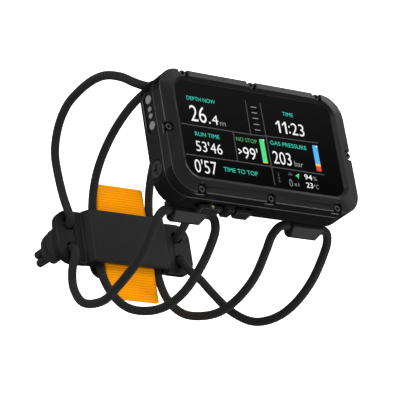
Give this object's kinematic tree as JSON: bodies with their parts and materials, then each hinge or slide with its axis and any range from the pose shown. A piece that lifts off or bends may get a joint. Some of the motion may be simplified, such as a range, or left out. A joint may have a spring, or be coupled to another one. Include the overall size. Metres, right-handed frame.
{
  "type": "wrist dive computer",
  "caption": "Wrist dive computer: rectangular sealed display head with two side buttons, carried on two bungee loops that run through corner lugs to a slotted wrist plate with a pull tab.",
  "frame": {"origin": "centre of the flat back of the head, where it rests on the wrist", "axes": "+Z out of the display, +X to the display's right (along the forearm), +Y to the display's top; the buttons press along +Y and the wrist plate pulls away along -Z"},
  "size_m": [0.11, 0.1228, 0.1445],
  "materials": {
    "housing_black": "fine satin moulded black",
    "bezel_black": "satin black with lighter chamfers",
    "lug_grey": "satin dark grey",
    "button_black": "ribbed satin black",
    "plate_black": "satin black",
    "screw_black": "blackened socket heads",
    "screw_steel": "bright steel",
    "contact_steel": "bright contact faces",
    "stem_steel": "ground steel",
    "spring_steel": "spring wire",
    "seal_rubber": "black rubber",
    "lens_glass": "polished black glass",
    "display_black": "dark display glass",
    "tray_plastic": "moulded grey",
    "board_green": "solder resist green",
    "can_steel": "tinned steel",
    "battery_wrap": "shrink wrap",
    "ribbon_amber": "amber film",
    "antenna_brass": "plated strip",
    "beeper_brass": "brass disc",
    "sensor_steel": "steel can",
    "switch_plastic": "white moulding",
    "bungee_black": "woven black sheath",
    "webbing_orange": "ribbed orange webbing"
  },
  "bodies": {
    "head": {"rear_housing": "housing_black", "front_bezel": "bezel_black", "bezel_screws": "screw_black", "case_seal": "seal_rubber", "lens": "lens_glass", "lens_gasket": "seal_rubber", "display_panel": "display_black", "display_tray": "tray_plastic", "main_board": "board_green", "board_screws": "screw_steel", "shield_cans": "can_steel", "battery_pack": "battery_wrap", "display_ribbon": "ribbon_amber", "antenna_strip": "antenna_brass", "vibration_motor": "can_steel", "beeper_disc": "beeper_brass", "pressure_sensor": "sensor_steel", "sensor_seal": "seal_rubber", "sensor_cap": "housing_black", "contact_block": "housing_black", "contact_pads": "contact_steel", "button_guard": "lug_grey", "left_button_spring": "spring_steel", "left_button_switch": "switch_plastic", "right_button_spring": "spring_steel", "right_button_switch": "switch_plastic", "lug_bottom_left": "lug_grey", "lug_bottom_right": "lug_grey", "lug_top_left": "lug_grey", "lug_top_right": "lug_grey", "lug_screws": "screw_steel"},
    "left_button": {"left_button_cap": "button_black", "left_button_stem": "stem_steel", "left_button_seal": "seal_rubber", "left_button_clip": "spring_steel"},
    "right_button": {"right_button_cap": "button_black", "right_button_stem": "stem_steel", "right_button_seal": "seal_rubber", "right_button_clip": "spring_steel"},
    "strap_plate": {"wrist_plate": "plate_black", "plate_keeper": "plate_black", "keeper_screws": "screw_steel", "pull_tab": "webbing_orange", "tab_rivets": "screw_steel", "bungee_cord_left": "bungee_black", "bungee_cord_right": "bungee_black", "knot_left": "bungee_black", "knot_right": "bungee_black"}
  },
  "joints": [
    {"name": "left_button_press", "type": "slide", "parent": "head", "child": "left_button", "axis": [0, 1, 0], "range_m": [0, 0.0012], "stiffness_N_per_m": 500, "springref_m": -0.0006, "deforming": ["left_button_spring"]},
    {"name": "right_button_press", "type": "slide", "parent": "head", "child": "right_button", "axis": [0, 1, 0], "range_m": [0, 0.0012], "stiffness_N_per_m": 500, "springref_m": -0.0006, "deforming": ["right_button_spring"]},
    {"name": "bungee_stretch", "type": "slide", "parent": "head", "child": "strap_plate", "axis": [0, 0, -1], "range_m": [0, 0.025], "stiffness_N_per_m": 400, "deforming": ["bungee_cord_left", "bungee_cord_right"]}
  ]
}
